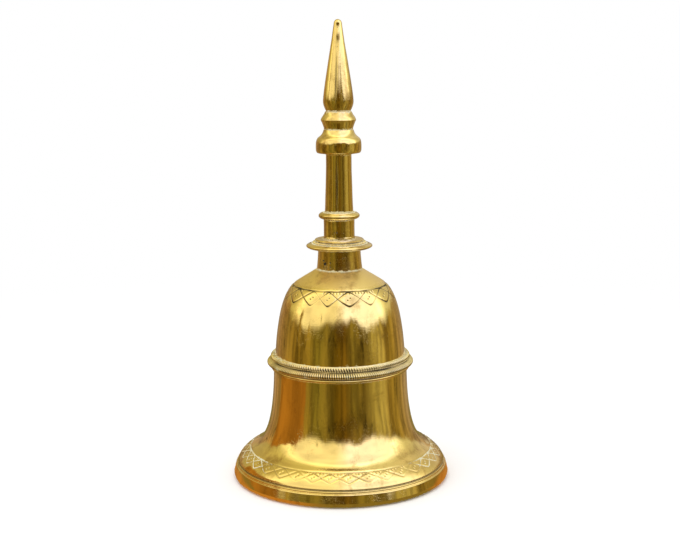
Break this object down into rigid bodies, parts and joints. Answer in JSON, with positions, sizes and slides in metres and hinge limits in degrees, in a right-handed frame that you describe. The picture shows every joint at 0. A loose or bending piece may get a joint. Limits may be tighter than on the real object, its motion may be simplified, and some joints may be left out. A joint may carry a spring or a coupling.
{
  "type": "puja bell",
  "caption": "Brass hand bell with engraved flared rim, milled waist band, stacked turned handle with a spire, and a swinging clapper inside.",
  "frame": {"origin": "centre of the rim's plane, which the bell stands on", "axes": "+Z along the bell's axis towards the tip of the handle, X along the clapper's main swing"},
  "size_m": [0.091, 0.091, 0.19],
  "materials": {
    "body_brass": "polished cast brass with worn highlights, fine scratches and dark tarnish in the engraving",
    "handle_brass": "polished turned brass with olive tarnish and pale polish residue in the joints",
    "band_brass": "milled brass with pale greenish residue in the grooves",
    "cast_brass": "rough unpolished cast brass, dull and tarnished",
    "iron": "dark forged iron with light rust"
  },
  "bodies": {
    "root": {"bell_body": "body_brass", "band_base_ring": "band_brass", "band_lower_ring": "band_brass", "band_upper_ring": "band_brass", "neck_collar": "handle_brass", "flange_plate": "handle_brass", "flange_milled_ring": "band_brass", "flange_cap": "handle_brass", "shaft_spool": "handle_brass", "grip_ring": "handle_brass", "handle_shaft": "handle_brass", "cushion_knob": "handle_brass", "finial_collar": "handle_brass", "spire_finial": "handle_brass", "handle_spindle": "iron", "crown_washer": "cast_brass", "crown_nut": "iron", "clapper_eye": "iron"},
    "link": {"clapper_link": "iron"},
    "clapper": {"clapper_rod": "iron", "clapper_ball": "cast_brass"}
  },
  "joints": [
    {"name": "link_sway", "type": "hinge", "parent": "root", "child": "link", "pos_m": [0, 0, 0.06845], "axis": [1, 0, 0], "range_deg": [-6, 6]},
    {"name": "clapper_swing", "type": "hinge", "parent": "link", "child": "clapper", "pos_m": [0, 0, 0.06145], "axis": [0, 1, 0], "range_deg": [-23, 23]}
  ]
}
